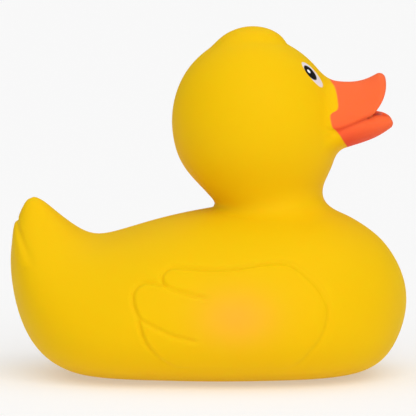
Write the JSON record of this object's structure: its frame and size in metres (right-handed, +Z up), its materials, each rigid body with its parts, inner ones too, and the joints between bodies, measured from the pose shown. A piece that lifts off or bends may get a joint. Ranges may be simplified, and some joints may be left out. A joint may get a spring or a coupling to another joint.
{
  "type": "rubber duck",
  "caption": "Hollow soft vinyl bath duck with an open orange bill, moulded wings and an upturned tail, standing on a flat base.",
  "frame": {"origin": "centre of the bounding box at the flat base", "axes": "+X towards the bill, +Z up, the duck is symmetric left and right of the XZ plane"},
  "size_m": [0.1188, 0.0908, 0.1045],
  "materials": {
    "vinyl_skin": "satin, yellow with painted orange bill and printed eyes"
  },
  "bodies": {
    "root": {"duck_body": "vinyl_skin"}
  },
  "joints": []
}
